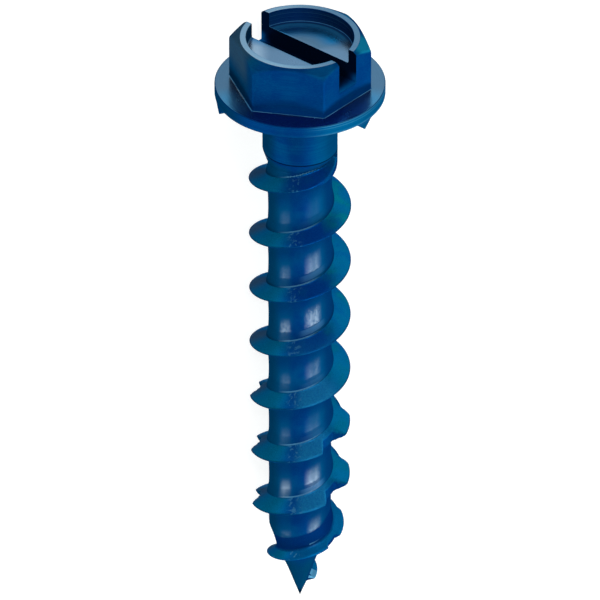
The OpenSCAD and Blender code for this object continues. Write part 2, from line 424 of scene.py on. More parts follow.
def rounded_profile(corners, reaches, runs, arc_rows=5):
    """Rows of a profile: straight runs between corners, with each inner corner eased by a parabola.

    corners is an array of (point, radius or height, column). reaches says how far each inner corner's
    parabola runs along its two sides, and runs gives the shares along each straight run where a row lies.
    """
    inner = corners[1:-1]
    reach = np.stack(np.broadcast_arrays(*reaches, np.zeros(corners.shape[2])))[:-1, None]
    enter = inner + unit(corners[:-2] - inner) * reach
    leave = inner + unit(corners[2:] - inner) * reach
    starts = np.concatenate([corners[:1], leave])
    ends = np.concatenate([enter, corners[-1:]])
    s = np.linspace(0, 1, arc_rows)[:, None, None]
    rows = [corners[:1]]
    for i, shares in enumerate(runs):
        along = np.array(shares, float).reshape(-1, 1, 1)
        rows.append(starts[i] + along * (ends[i] - starts[i]))
        if i < len(inner):
            rows.append((1 - s) ** 2 * enter[i] + 2 * s * (1 - s) * inner[i] + s**2 * leave[i])
    rows.append(corners[-1:])
    return np.concatenate(rows)


def cylinder_points(radius, turn, height):
    """Points from radius, turn about the axis and height."""
    return np.stack(np.broadcast_arrays(radius * np.cos(turn), radius * np.sin(turn), height), -1)


class Skin:
    """Gathers grids of points and flat plates into one closed mesh."""

    def __init__(self):
        self.points = []
        self.quads = []
        self.plates = []
        self.count = 0

    def add(self, points):
        """Keeps points and returns the number of the first."""
        first = self.count
        flat = points.reshape(-1, 3)
        self.points.append(flat)
        self.count += len(flat)
        return first

    def grid(self, points):
        """A surface over a grid of rows and columns: each cell of four neighbouring points is a face."""
        rows, columns = points.shape[:2]
        index = self.add(points) + np.arange(rows * columns).reshape(rows, columns)
        cells = [index[:-1, :-1], index[:-1, 1:], index[1:, 1:], index[1:, :-1]]
        self.quads.append(np.stack(cells, -1).reshape(-1, 4))

    def plate(self, outline):
        """One flat face inside an outline."""
        first = self.add(outline)
        self.plates.append(list(range(first, first + len(outline))))

    def mesh(self, name):
        """The mesh in the row frame: doubles welded, faces outward, plates flat and all else smooth."""
        turn, origin = placement()
        points = np.concatenate(self.points) @ np.array(turn).T + np.array(origin)
        # The crest that the screw lies on is pressed level with the floor
        points[:, 2] = np.maximum(points[:, 2], CAD_BOX[0].z)
        made = bpy.data.meshes.new(name)
        made.from_pydata(points.tolist(), [], np.concatenate(self.quads).tolist() + self.plates)
        edit = bmesh.new()
        edit.from_mesh(made)
        bmesh.ops.remove_doubles(edit, verts=edit.verts, dist=WELD)
        bmesh.ops.recalc_face_normals(edit, faces=edit.faces)
        open_edges = sum(not edge.is_manifold for edge in edit.edges)
        if open_edges:
            raise RuntimeError(f"{name} isn't closed: {open_edges} open edges")
        for face in edit.faces:
            face.smooth = len(face.verts) <= 4
        edit.to_mesh(made)
        edit.free()
        return made


def flat_turn(size):
    """Turn of the slot, which runs from the middle of one flat to the middle of the opposite one."""
    return size.head_turn - math.pi / 6


def corner_start(size):
    """Angle from the middle of a flat to where its corner's rounding starts."""
    half = size.hex_across_flats / 2
    return math.atan((half - size.hex_corner_round) * math.tan(math.pi / 6) / half)


def hex_radius(turn, size):
    """Distance from the axis to the hex: flat distance / cos on a flat, and a circle near a corner."""
    half = size.hex_across_flats / 2
    off = np.abs((turn + math.pi / 6) % (math.pi / 3) - math.pi / 6)
    centre = (half - size.hex_corner_round) / math.cos(math.pi / 6)
    lean = math.pi / 6 - off
    depth = np.maximum(size.hex_corner_round**2 - (centre * np.sin(lean)) ** 2, 0)
    corner = centre * np.cos(lean) + np.sqrt(depth)
    return np.where(off > corner_start(size), corner, half / np.cos(off))


def slot_exit(size):
    """Angle from the middle of a flat to where the slot's rounded edge meets that flat."""
    return math.atan((size.slot_width / 2 + size.edge_round) / (size.hex_across_flats / 2))


def head_columns(size, across_exit=7, along_side=9, round_corner=4, hold=0.012):
    """Turns of all columns round the axis, from the middle of a flat: closer together at the hex corners."""
    exit_turn = slot_exit(size)
    corner = corner_start(size)
    half = np.concatenate([
        np.linspace(0, exit_turn, across_exit),
        np.linspace(exit_turn, corner - hold, along_side)[1:],
        np.linspace(corner, math.pi / 6, round_corner),
    ])
    sector = np.concatenate([half, math.pi / 3 - half[-2:0:-1]])
    return (sector + np.arange(6)[:, None] * math.pi / 3).ravel()


def head_profile(turn, size):
    """Radius and height of the upper head at each turn: recess floor, wall, rim, chamfer and hex side."""
    radius = hex_radius(turn, size)
    level = np.ones_like(radius)
    rim = size.rim_diameter / 2
    recess = size.recess_diameter / 2
    top = size.head_height
    floor = top - size.recess_depth
    corners = np.array([
        [(recess - 2 * size.recess_fillet) * level, floor * level],
        [recess * level, floor * level],
        [recess * level, top * level],
        [rim * level, top * level],
        [radius, top - (radius - rim) * math.tan(size.corner_chamfer_angle)],
        [radius, (top - size.slot_depth) * level],
    ])
    edge = 1.3 * size.edge_round
    # The chamfer runs softly into the hex side: its rounding takes a quarter of its own length
    soft = 0.25 * (radius - rim) / math.cos(size.corner_chamfer_angle)
    side_rows = (0.04, 0.35, 0.7)
    return rounded_profile(
        corners,
        [size.recess_fillet, edge, np.minimum(edge, 0.5 * soft), soft],
        [(), RUN_ROWS, RUN_ROWS, RUN_ROWS, side_rows],
    )


def row_by_row(turns, size):
    """The head's profile where each row has turns of its own: row i is taken at turns[i]."""
    rows, columns = turns.shape
    every = head_profile(turns.ravel(), size).reshape(rows, 2, rows, columns)
    return every[np.arange(rows), :, np.arange(rows)]


def slot_edge_turns(size, tries=12):
    """Turn at which each row of the head's profile meets the slot's edge: asin(half slot / radius), found by
    repeating it with the radius at the last turn."""
    edge = size.slot_width / 2 + size.edge_round
    rows = head_profile(np.zeros(1), size).shape[0]
    turns = np.full((rows, 1), slot_exit(size))
    for _ in range(tries):
        turns = np.arcsin(edge / row_by_row(turns, size)[:, 0])
    return turns


def half_head(skin, size, side_turn):
    """One half of the upper head, beside the slot: a ring swept from slot edge to slot edge, the recess
    floor between it and the slot, a rounded edge along the slot, and the slot's flat wall."""
    columns = head_columns(size)
    exit_turn = slot_exit(size)
    beside = np.minimum(columns, math.pi - columns)
    columns = columns[beside > exit_turn - SAME_ANGLE]
    # Near the slot the columns lean so that the end ones lie along its edge
    corner = math.pi / 6
    edge_turns = slot_edge_turns(size)
    lean = np.clip((corner - np.minimum(columns, math.pi - columns)) / (corner - exit_turn), 0, 1)
    shift = (edge_turns - exit_turn) * lean
    turns = columns + np.where(columns < math.pi / 2, shift, -shift)
    profile = row_by_row(turns, size)
    ring = cylinder_points(profile[:, 0], turns, profile[:, 1])

    # The recess floor runs straight across from the ring to the slot's edge
    edge = size.slot_width / 2 + size.edge_round
    floor_rows = np.array([0, 0.08, 0.5, 0.92, 1])[:, None, None]
    chord = ring[0] * [1, 0, 1] + [0, edge, 0]
    floor = ring[0] + floor_rows * (chord - ring[0])

    # Outline of the slot wall, from the foot of one flat over the rims and the recess floor to the other's
    outline = np.concatenate([ring[::-1, 0], chord[1:-1], ring[:, -1]])
    along = np.diff(outline[:, [0, 2]], axis=0)
    outward = unit(np.stack([along[:, 1], -along[:, 0]], -1))
    outward = unit(np.concatenate([outward[:1], outward[:-1] + outward[1:], outward[-1:]]))
    bend = np.linspace(0, math.pi / 2, 5)[:, None]
    inset = size.edge_round * (1 - np.cos(bend))
    rounding = np.stack([
        outline[:, 0] - outward[:, 0] * inset,
        np.broadcast_to(edge - size.edge_round * np.sin(bend), (len(bend), len(outline))),
        outline[:, 2] - outward[:, 1] * inset,
    ], -1)

    c, s = math.cos(side_turn), math.sin(side_turn)
    spin = np.array([[c, s, 0], [-s, c, 0], [0, 0, 1]])
    for patch in (ring, floor, rounding):
        skin.grid(patch @ spin)
    skin.plate(rounding[-1] @ spin)
    # The two curved ends of the slot's floor, from the wall out to the flats
    return rounding[::-1, 0] @ spin, rounding[:, -1] @ spin


def slot_floor(skin, size, ends):
    """The slot's flat floor, between the feet of its two walls and the flats that it opens through."""
    exit_turn = slot_exit(size)
    columns = head_columns(size)
    columns = (columns + math.pi) % (2 * math.pi) - math.pi
    opening = np.sort(columns[np.abs(columns) < exit_turn - SAME_ANGLE])[::-1]
    height = size.head_height - size.slot_depth
    turn = flat_turn(size)
    (first_right, first_left), (second_right, second_left) = ends
    first_exit, second_exit = (
        cylinder_points(hex_radius(opening, size), opening + turn + half, height) for half in (0, math.pi)
    )
    skin.plate(np.concatenate([
        first_right, first_exit, second_left, second_right, second_exit, first_left
    ]))


def nib_height(turn, radius, size):
    """Ridge nibs: full height on a nib's line, falling straight to nothing at half its width."""
    spacing = 2 * math.pi / size.nib_count
    off = (turn + spacing / 2) % spacing - spacing / 2
    across = np.abs(radius * np.sin(off))
    return size.nib_height * np.clip(1 - across / (size.nib_width / 2), 0, 1)


def flange_rows(turn, size):
    """Radius and height of the lower hex, the flange, its underside with the nibs, and the neck."""
    level = np.ones_like(turn)
    side = hex_radius(turn, size)
    rim = size.flange_diameter / 2
    collar = size.collar_diameter / 2
    inner = rim - size.nib_length
    strip = rim - 5 * size.flange_round
    outer = rounded_profile(
        np.array([
            [side, (size.head_height - size.slot_depth) * level],
            [side, size.flange_thickness * level],
            [rim * level, size.flange_thickness * level],
            [rim * level, -nib_height(turn, rim, size)],
            [strip * level, -nib_height(turn, strip, size)],
        ]),
        [size.hex_foot_fillet, size.flange_round, 0.8 * size.flange_round],
        [(0.3, 0.65, 0.96), (0.05, 0.35, 0.65, 0.95), RUN_ROWS, ()],
    )
    nib_end = inner + 0.03 * MM
    radii = np.linspace(strip, nib_end, 7)[1:, None] * level
    under = np.stack([radii, -nib_height(turn, radii, size)], 1)
    neck = rounded_profile(
        np.array([
            [inner * level, 0 * level],
            [collar * level, 0 * level],
            [collar * level, -size.collar_length / 3 * level],
        ]),
        [size.neck_fillet],
        [(0.5, 0.95), (0.1, 0.5)],
        arc_rows=7,
    )
    return np.concatenate([outer, under, neck])


def notch_cut(turns, size):
    """Depth of the notches: each has its full depth within its floor's angle, and straight sides."""
    start = size.plain_thread_length / size.thread_pitch
    places = np.array(size.notch_places).reshape(-1, *[1] * turns.ndim)
    depths = np.array(size.notch_depths).reshape(-1, *[1] * turns.ndim)
    places = places - size.notch_drift * (turns - start)
    off = np.abs((2 * math.pi * turns - places + math.pi) % (2 * math.pi) - math.pi)
    side = (size.notch_angle - size.notch_floor_angle) / 2
    cut = depths * np.clip((size.notch_angle / 2 - off) / side, 0, 1)
    return np.where(turns < start, 0, cut.max(0))


def thread_place(around, height, size):
    """Depth below the thread's start, turns from there to the nearest crest, and height above that crest."""
    down = -size.collar_length - size.thread_lead - height
    turns = np.round(down / size.thread_pitch - around / (2 * math.pi)) + around / (2 * math.pi)
    return down, turns, turns * size.thread_pitch - down


def last_turn(size):
    """Turns from the thread's start to its cut end."""
    return (size.shank_length - size.bare_point - size.collar_length - size.thread_lead) / size.thread_pitch


def crest_radius(turns, size):
    """Radius of the crest, drawn in toward the point along a parabola."""
    start = size.collar_length + size.thread_lead
    past = start + size.thread_pitch * turns - size.shank_length + size.crest_taper_length
    return size.thread_diameter / 2 * (1 - (np.maximum(0, past) / size.crest_taper_length) ** 2)


def core_radius(height, size):
    """Radius of a plain core: a cylinder that ends in a cone point."""
    return np.minimum(size.root_diameter / 2, (height + size.shank_length) * math.tan(size.point_angle / 2))


def flank_slope(turns, above, size):
    """Spread of a flank over its depth: toward the head it grows by a smooth step in the lower turns."""
    plain = math.tan(size.flank_angle)
    growth = 0.6 * size.thread_pitch
    grown = ease((turns * size.thread_pitch - size.wide_flank_start) / growth)
    return plain + np.where(above > 0, grown, 0) * (math.tan(size.wide_flank_angle) - plain)


def flank_foot(turns, above, height, size):
    """Distance from the middle of the crest to where a flank would meet a plain core."""
    depth = np.maximum(0, crest_radius(turns, size) - core_radius(height, size))
    return size.crest_width / 2 + depth * flank_slope(turns, above, size)


def foot_hollow(off, foot, size):
    """Rise of the root toward a flank: a parabola over the gap, and a straight band that ends in a strip."""
    hollow = size.root_hollow * (1 - 2 * off / size.thread_pitch) ** 2
    band = (foot + size.foot_band - off) / (size.foot_band - size.foot_step)
    return hollow + size.foot_rise * np.clip(band, 0, 1)


def shank_radius(around, height, size):
    """Radius of the shank at an angle round it and a height.

    The root is a cylinder with a cone point and a slight hollow. Each flank falls straight from a rounded
    crest, the thread runs in from the collar, draws in toward the point along a parabola and stops at its
    cut end, and parabolas join the flanks to the root. The collar tapers into it.
    """
    collar, root, crest = size.collar_diameter / 2, size.root_diameter / 2, size.thread_diameter / 2
    down, turns, above = thread_place(around, height, size)
    off = np.abs(above)
    top = crest_radius(turns, size)
    limit = np.minimum(
        collar + (crest - collar) * ease(2 * math.pi * turns / size.run_in_angle),
        np.minimum(top, crest - notch_cut(turns, size)),
    )
    limit = np.where((turns < 0) | (turns > last_turn(size)), -crest, limit)
    crest_half = size.crest_width / 2
    flank = top - (np.hypot(off, crest_half) - crest_half) / flank_slope(turns, above, size)
    core = core_radius(height, size)
    foot = core + foot_hollow(off, flank_foot(turns, above, height, size), size) * core / root
    threaded = foot + fillet(np.minimum(flank, limit) - foot, size.root_fillet)
    tapered = np.maximum(0, down + size.thread_lead + size.collar_lead)
    past_taper = np.maximum(0, tapered - size.collar_taper)
    steep = 2
    taper = collar - math.tan(size.taper_angle) * tapered - steep * past_taper
    blend = 0.015 * MM
    return taper + fillet(threaded - taper, blend)


def thread_section(size):
    """Distances of the thread's rows from the middle of the crest, closer at the crest and the fillet."""
    crest_half = size.crest_width / 2
    foot = flank_foot(0, 0, 0, size)
    # The band and its strip lift the root, so the flank ends a little above a plain root
    raised = foot - foot_hollow(foot, foot, size) * math.tan(size.flank_angle)
    reach = size.root_fillet * math.tan(size.flank_angle)
    edge = 0.012 * MM
    half = np.concatenate([
        np.linspace(0, 2 * crest_half, 4),
        np.linspace(2 * crest_half, raised - reach, 4)[1:],
        np.linspace(raised - reach, raised + reach, 4)[1:],
        foot + size.foot_step + edge * np.array([-1, 1]),
        foot + size.foot_band + edge * np.array([-1, 1]),
        np.linspace(foot + size.foot_band, size.thread_pitch / 2, 6)[1:],
    ])
    return np.concatenate([half[::-1], -half[1:-1]])


def widened(section, turns, size):
    """The section's rows moved toward the head by as much as the wider flank's foot is, less near the crest
    and above the sloping band, and not at all midway between two crests."""
    depth = (size.thread_diameter - size.root_diameter) / 2
    extra = depth * (flank_slope(turns, 1, size) - math.tan(size.flank_angle))
    foot = flank_foot(0, 0, 0, size)
    middle = size.thread_pitch / 2
    below = np.clip(section / foot, 0, 1)
    beyond = np.clip((middle - section) / (middle - foot - size.foot_band), 0, 1)
    return section + extra * below * beyond


def lower_screw(skin, size):
    """Everything below the slot's floor, on one set of columns all the way round: hex side, flange and
    collar on level rows, then the thread on rows that follow its helix down to the point."""
    turn = flat_turn(size)
    around = np.sort(-(head_columns(size) + turn) % (2 * math.pi))
    around = np.append(around, around[0] + 2 * math.pi)
    head_turns = -around - turn
    outer = flange_rows(head_turns, size)
    collar_start, run_in_start = size.collar_length / 3, 0.8 * size.collar_length
    collar_end = size.collar_length + 1.2 * size.collar_taper
    heights = -np.concatenate([
        np.linspace(collar_start, run_in_start, 4)[1:],
        np.linspace(run_in_start, size.collar_length, 18)[1:],
        np.linspace(size.collar_length, collar_end, 15)[1:],
    ])[:, None]
    collar = np.stack(np.broadcast_arrays(shank_radius(around, heights, size), heights), 1)
    rows = np.concatenate([outer, collar])
    skin.grid(cylinder_points(rows[:, 0], -around, rows[:, 1]))

    turns = np.arange(-2, math.ceil(size.shank_length / size.thread_pitch) + 1)
    turns = turns[:, None, None] + around / (2 * math.pi)
    section = widened(thread_section(size)[:, None], turns, size)
    thread_start = size.collar_length + size.thread_lead
    helix = (section - size.thread_pitch * turns).reshape(-1, len(around)) - thread_start
    thread_end = size.shank_length - size.bare_point / 2
    helix = np.clip(helix, -thread_end, -collar_end)
    used = (helix.min(1) < -collar_end) & (helix.max(1) > -thread_end)
    first, last = np.flatnonzero(used)[[0, -1]]
    helix = helix[first - 1:last + 2]
    skin.grid(cylinder_points(shank_radius(around, helix, size), -around, helix))

    point = -np.linspace(thread_end, size.shank_length, 6)[:, None]
    skin.grid(cylinder_points(shank_radius(around, point, size) * (point > point[-1]), -around, point))


class Value:
    """A shader socket that works in arithmetic: each operator adds one Math node."""

    def __init__(self, shader, socket):
        self.shader = shader
        self.socket = socket

    def math(self, operation, first, second=0.0):
        return self.shader.node("ShaderNodeMath", {"operation": operation}, {0: first, 1: second})

    def __add__(self, other):
        return self.math("ADD", self, other)

    __radd__ = __add__

    def __sub__(self, other):
        return self.math("SUBTRACT", self, other)

    def __rsub__(self, other):
        return self.math("SUBTRACT", other, self)

    def __mul__(self, other):
        return self.math("MULTIPLY", self, other)

    __rmul__ = __mul__

    def __abs__(self):
        return self.math("ABSOLUTE", self)

    def clamp(self):
        """The value, held between 0 and 1."""
        return self.shader.node("ShaderNodeClamp", None, {0: self})


class Shader:
    """A node tree to which nodes are added one by one."""

    def __init__(self, owner):
        owner.use_nodes = True
        self.tree = owner.node_tree
        self.tree.nodes.clear()

    def node(self, kind, settings=None, inputs=None, output=0):
        """Adds a node, sets its settings, fills or links its sockets, and returns one of its outputs."""
        made = self.tree.nodes.new(kind)
        for name, value in (settings or {}).items():
            if name == "stops":
                self.set_stops(made.color_ramp, value)
            else:
                setattr(made, name, value)
        for name, value in (inputs or {}).items():
            if isinstance(value, Value):
                self.tree.links.new(value.socket, made.inputs[name])
            else:
                made.inputs[name].default_value = value
        return Value(self, made.outputs[output]) if made.outputs else None

    @staticmethod
    def set_stops(ramp, stops):
        """Gives a ramp its stops, each a place and a grey."""
        while len(ramp.elements) < len(stops):
            ramp.elements.new(0.5)
        for element, (place, grey) in zip(ramp.elements, stops):
            element.position = place
            element.color = rgba((grey, grey, grey))

    def mix(self, factor, first, second):
        """One colour over another."""
        return self.node("ShaderNodeMix", {"data_type": "RGBA"}, {0: factor, 6: first, 7: second}, output=2)


def collar_crease():
    """Height of the crease where the collar ends and its taper starts."""
    size = bpy.context.scene.screw_sizes
    return size.collar_lead - size.collar_length


def slot_middle():
    """Place of the slot's middle, in the row frame."""
    size = bpy.context.scene.screw_sizes
    turn, origin = placement()
    return origin + turn @ Vector((0, 0, size.head_height - size.slot_depth / 2))


def rgba(rgb):
    """A colour with full alpha, as sockets take it."""
    return (*rgb, 1)


class Coat:
    """The coating's colour, built up by tones laid over one another, with the places, masks and noises that
    tell where each tone lies. Places are in millimetres."""

    def __init__(self, shader, look):
        self.shader = shader
        self.look = look
        self.place = shader.node("ShaderNodeTexCoord", output="Object")
        self.lathe = shader.node("ShaderNodeAttribute", {"attribute_name": "lathe"}, output="Vector")
        self.across, self.along = self.millimetres(self.place)
        self.radius, self.height = self.millimetres(self.lathe)
        self.from_crease = abs(self.height - collar_crease() / MM)
        slot_distance = shader.node(
            "ShaderNodeVectorMath", {"operation": "DISTANCE"}, {0: self.place, 1: slot_middle()}, output=1)
        self.from_slot = slot_distance * (1 / MM)
        self.top, self.slot, self.lines, self.wall = map(self.mask, FACE_MASKS)
        self.flank, self.root, self.chamfer, self.band, self.side, self.front, self.gap = map(
            self.mask, POINT_MASKS)
        self.aside = abs(self.side)
        self.cloud = self.noise(900, 4)
        self.scars = self.noise(5000, 2)
        self.grain = self.noise(9000)
        self.specks = self.noise(16000, 2)
        self.rings = self.noise(14000, 2, self.lathe)
        self.turned = self.at("rim") * self.at("rim_rings") + self.wall + self.top
        # The teal on the flanks is partly painted light from above.
        self.colour = shader.mix(self.flank, rgba(look.deep_blue), rgba(look.teal))

    def millimetres(self, vector):
        """The first two parts of a vector that is in metres."""
        return [
            self.shader.node("ShaderNodeSeparateXYZ", None, {0: vector}, output=axis) * (1 / MM)
            for axis in range(2)
        ]

    def mask(self, name):
        """A mask that the mesh carries."""
        return self.shader.node("ShaderNodeAttribute", {"attribute_name": name}, output="Fac")

    def noise(self, scale, detail=3, vector=None):
        """Soft noise, over the object unless another vector is given."""
        inputs = {"Vector": vector or self.place, "Scale": scale, "Detail": detail}
        return self.shader.node("ShaderNodeTexNoise", None, inputs)

    def fade(self, value, start, end, low=0.0, high=1.0):
        """A smooth step of a value: low up to its start and high from its end."""
        return self.shader.node("ShaderNodeMapRange", {"interpolation_type": "SMOOTHSTEP"}, {
            "Value": value, "From Min": start, "From Max": end, "To Min": low, "To Max": high})

    def at(self, place, low=0.0, high=1.0):
        """A smooth step at one of the named places."""
        direction, start, end = PLACES[place]
        return self.fade(getattr(self, direction), start, end, low, high)

    def lay(self, tone, *masks):
        """Lays a tone over the colour where all its masks meet."""
        rgb, strength = TONES[tone]
        if isinstance(rgb, str):
            rgb = getattr(self.look, rgb)
        self.colour = self.shader.mix(math.prod(masks, start=strength), self.colour, rgba(rgb))


def lay_ground(coat):
    """Soft patches all over, greener on the right of the flanks. Painted light makes the fronts of the
    flanks bluer, a painted teal sheen lies at the sides of the root and painted light on the hex corners'
    chamfers, strongest on the right, and painted shade lies below each thread, on the left side and at the
    point."""
    at, flank, root = coat.at, coat.flank, coat.root
    calm = at("head", 1, 0.4)
    coat.lay("cloud_light", at("cloud_light"), calm)
    coat.lay("cloud_dark", at("cloud_dark"), calm, 1 - flank)
    # Painted light: the fronts of the flanks are bluer.
    coat.lay("flank_front", flank, at("flank_front_from"), at("flank_front_to"))
    patchy = flank * at("flank_right", 0.15, 0.9) * at("upper_flanks", 0.35, 1)
    coat.lay("flank_green", patchy, at("patch_green"))
    coat.lay("flank_blue", patchy, at("patch_blue"))
    # Painted sheen at the root's sides, round its highlights, and painted shade under each thread.
    coat.lay("root_sides", root, at("root_sides"))
    coat.lay("root_shade", root, at("under_thread"))
    # Painted light on the chamfers at the hex corners, strongest on the right.
    coat.lay("chamfer", coat.chamfer, at("chamfer_right", 0.45, 1))
    # Painted shade on the left side, away from the light, and at the point.
    painted_shade_side = at("painted_shade_side") * (1 - flank)
    coat.lay("painted_shade", (0.85 * painted_shade_side + 0.8 * at("painted_shade_point")).clamp())


def lay_thread(coat):
    """Tones of the thread: painted shade on the left flanks and a painted brownish reflection on the far
    left ones, painted shade at the root's right edge, pale painted light with grain on the fronts of the
    lower flanks, painted shade beside the last flank, and dark on the crests and at the tip. Returns how
    bare the flanks are."""
    at, flank = coat.at, coat.flank
    shank = at("shank")
    # Painted shade on the left flanks.
    coat.lay("flank_left", flank, at("flank_left"))
    # A painted brownish reflection on the far left flanks.
    painted_reflection = flank * at("painted_reflection_side") * at("painted_reflection_from") * at("painted_reflection_to")
    coat.lay("flank_painted_reflection", painted_reflection)
    # Painted shade at the root's right edge.
    coat.lay("root_right", shank, at("root_right"), 1 - flank)
    # Painted light on the fronts of the lower flanks.
    lower = flank * at("lower_flanks") * at("above_last_flank")
    lower = lower * at("flank_lower_from") * at("flank_lower_to")
    coat.lay("flank_lower", lower, at("grainy", 0.75, 1))
    last = flank * at("last_flank") * at("flank_last_from")
    coat.lay("flank_last", last)
    coat.lay("tip", at("tip"))
    # Painted shade beside the last flank.
    coat.lay("last_band", coat.band)
    coat.lay("crest_edge", shank, at("crest_edge"))
    return flank - 0.55 * painted_reflection - 0.6 * lower - 0.6 * last


def lay_head(coat):
    """Tones of the head: a painted reflection on the upper left of the hex, painted shade on the recess
    wall, a turned rim on the flange that is teal with bright rings on its right by painted light and
    darkened on its front roundings by painted shade, painted light at the foot of the hex, and painted
    reflections on the
    metallic top faces: dark on the flange in front of the hex and pale beside it, a ring paler on the left,
    and a recess floor paler at the front and left that darkens toward the back of its wall. Returns how
    bright the top faces are."""
    at, top = coat.at, coat.top
    # Painted reflection on the upper left of the hex.
    coat.lay("hex_left", at("upper_hex"), at("hex_left"), at("hex_back"), 1 - coat.wall)
    # Painted shade on the recess wall.
    coat.lay("recess_wall", coat.wall, at("wall_right", 0.2, 0.65))
    rim = at("rim") * (1 - top)
    # Painted light: the rim is teal on its right, where its turned rings also carry a painted highlight.
    coat.lay("rim_teal", rim, at("rim_right", 0, 0.8))
    coat.lay("rim_rings", rim, at("rings_light"), at("rim_rings"))
    # Painted shade on the front roundings of the rim.
    rounding = rim * at("rim_front")
    coat.lay("rim_top", rounding, at("rim_top"))
    coat.lay("rim_bottom", rounding, at("rim_bottom"))
    # Painted light at the foot of the hex, against its shade.
    hex_foot = at("hex_foot") * at("below_mid_hex") * at("inside_hex") * (1 - top)
    coat.lay("hex_foot", hex_foot, at("hex_foot_from"))
    coat.lay("top_faces", top)
    # Painted reflections on the flange's top: dark in front of the hex, pale beside it.
    flange = top * at("flange")
    coat.lay("flange_front", flange, at("flange_front"))
    coat.lay("flange_beside", flange, at("flange_beside_from"), at("flange_beside_to"))
    # Painted reflection: the ring is paler on the left.
    ring = top * at("outside_recess") * at("inside_ring")
    coat.lay("ring", ring, at("ring_left", 0.1, 0.9))
    # Painted reflections on the recess floor: paler at the front and left, teal and then dark toward the
    # back wall.
    floor = top * at("inside_recess")
    coat.lay("recess_front", floor, at("recess_front"))
    coat.lay("recess_left", floor, at("recess_left"))
    back = floor * at("recess_back")
    coat.lay("recess_back", back, at("recess_outer"))
    coat.lay("recess_edge", back, at("recess_edge"))
    return top - 0.5 * back * at("recess_dull")


def lay_marks_and_painted_light(coat):
    """Marks of making: turned rings, fine specks, and die marks in the same place on each turn of the
    thread.
    With them, painted light on the collar's right, painted shade on its front and in its crease, painted
    highlights along the feet and on the thread's cut end, and painted shade in the slot that is lighter
    where its floor ends."""
    at, flank = coat.at, coat.flank
    coat.lay("turned_worn", coat.turned, at("rings_worn"))
    plain = 1 - coat.top
    coat.lay("speck_light", at("specks_light"), plain, 0.04 + 0.1 * flank)
    coat.lay("speck_dark", at("specks_dark"), plain, 0.06 + 0.12 * flank)
    smooth = (1 - at("shank")) * plain * (1 - coat.slot)
    # Painted light on the collar's right and painted shade on its front.
    neck = smooth * at("neck")
    coat.lay("neck_right", neck, at("neck_right"))
    coat.lay("neck_front", neck, at("neck_front"))
    coat.lay("turned_light", smooth, at("rings_light"))
    coat.lay("turned_dark", smooth, at("rings_dark"))
    # Painted shade in the collar's crease.
    coat.lay("crease", at("crease"), 1 - flank)
    coat.lay("die_mark", flank, at("die_left"), at("die_right"), at("die_marks"))
    # Painted highlights along the feet and on the thread's cut end.
    coat.lay("foot_highlight", coat.lines)
    # Painted shade in the slot, and painted light where its floor opens out.
    floor = 1 - at("slot_walls")
    coat.lay("slot", coat.slot, 1 - floor * at("slot_open", 0, 0.9))
    coat.lay("slot_exit", coat.slot, floor, at("slot_exit"))


def lay_gloss(coat):
    """A painted pale reflection as a strip on the sloping band, and the gloss in the root: it lies from the
    band up to the middle of a gap, higher on the right, in one spot on either side of the front, pitted and
    uneven in its length."""
    at, fade, side = coat.at, coat.fade, coat.side
    point, collar = GLOSS_ENDS
    spread = coat.shader.node("ShaderNodeMapRange", None, {
        "Value": coat.along, "From Min": point, "From Max": collar, "To Min": 0.0, "To Max": 1.0})
    pooled = coat.shader.node("ShaderNodeValToRGB", {"stops": GLOSS_ALONG}, {"Fac": spread})
    root = coat.root * pooled * (1 - coat.band)
    # Painted reflection on the sloping band of the root.
    strip = at("band_from") * at("band_to") * at("strip_from") * at("strip_to") * at("strip_end")
    coat.lay("root_strip", root, strip)
    soft_end = 0.16
    past_middle = coat.gap - at("gloss_right", 0.55, 0.66)
    height = fade(past_middle, 0, -soft_end) * at("gloss_from", 0.5, 1)
    dull_left = at("left_half") * at("dull_start") * at("dull_end")
    dull_right = at("right_half") * at("faint_start")
    uneven = (1 - 0.6 * dull_left) * (1 - 0.6 * dull_right)
    left_spot = -0.46
    right_spot = 0.42 + 0.1 * at("last_gap")
    spots = fade(abs(side - right_spot), 0.34, 0.1) + fade(abs(side - left_spot), 0.26, 0.06)
    rough = at("rough_start") * at("rough_end")
    pits = at("pits", 0.75 - 0.4 * rough, 1)
    return root * height * uneven * spots * pits * at("gloss_front") * at("gloss_end")


def coating_material(look):
    """Satin blue coating over steel: paler and more metallic on the head's top faces and the flanks, the
    flanks' teal partly painted light from above, glossy in the root, with painted light, shade and
    reflections laid over it, painted shade dark in the slot, lathe marks on the head, and die marks and
    speckle on the flanks."""
    material = bpy.data.materials.new("blue_coating")
    shader = Shader(material)
    coat = Coat(shader, look)
    lay_ground(coat)
    bare_flanks = lay_thread(coat)
    bright_top = lay_head(coat)
    lay_marks_and_painted_light(coat)
    gloss = lay_gloss(coat)
    metal = look.side_metal + bare_flanks * (look.flank_metal - look.side_metal)
    bump = shader.node("ShaderNodeBump", None, {
        "Strength": 0.2, "Distance": 0.01 * MM, "Height": coat.grain + coat.turned * coat.rings})
    surface = shader.node("ShaderNodeBsdfPrincipled", None, {
        "Base Color": coat.colour,
        "Roughness": look.roughness + 0.15 * (coat.cloud - 0.5) - 0.1 * coat.top - 0.15 * gloss,
        "Metallic": metal + bright_top * (look.top_metal - look.side_metal),
        "Specular IOR Level": 0.0,
        "Specular Tint": rgba((0.0, 0.4, 0.8)),
        "Coat Weight": gloss * look.root_gloss,
        "Coat IOR": 3.0,
        "Coat Roughness": 0.2,
        "Normal": bump,
    })
    shader.node("ShaderNodeOutputMaterial", None, {"Surface": surface})
    return material


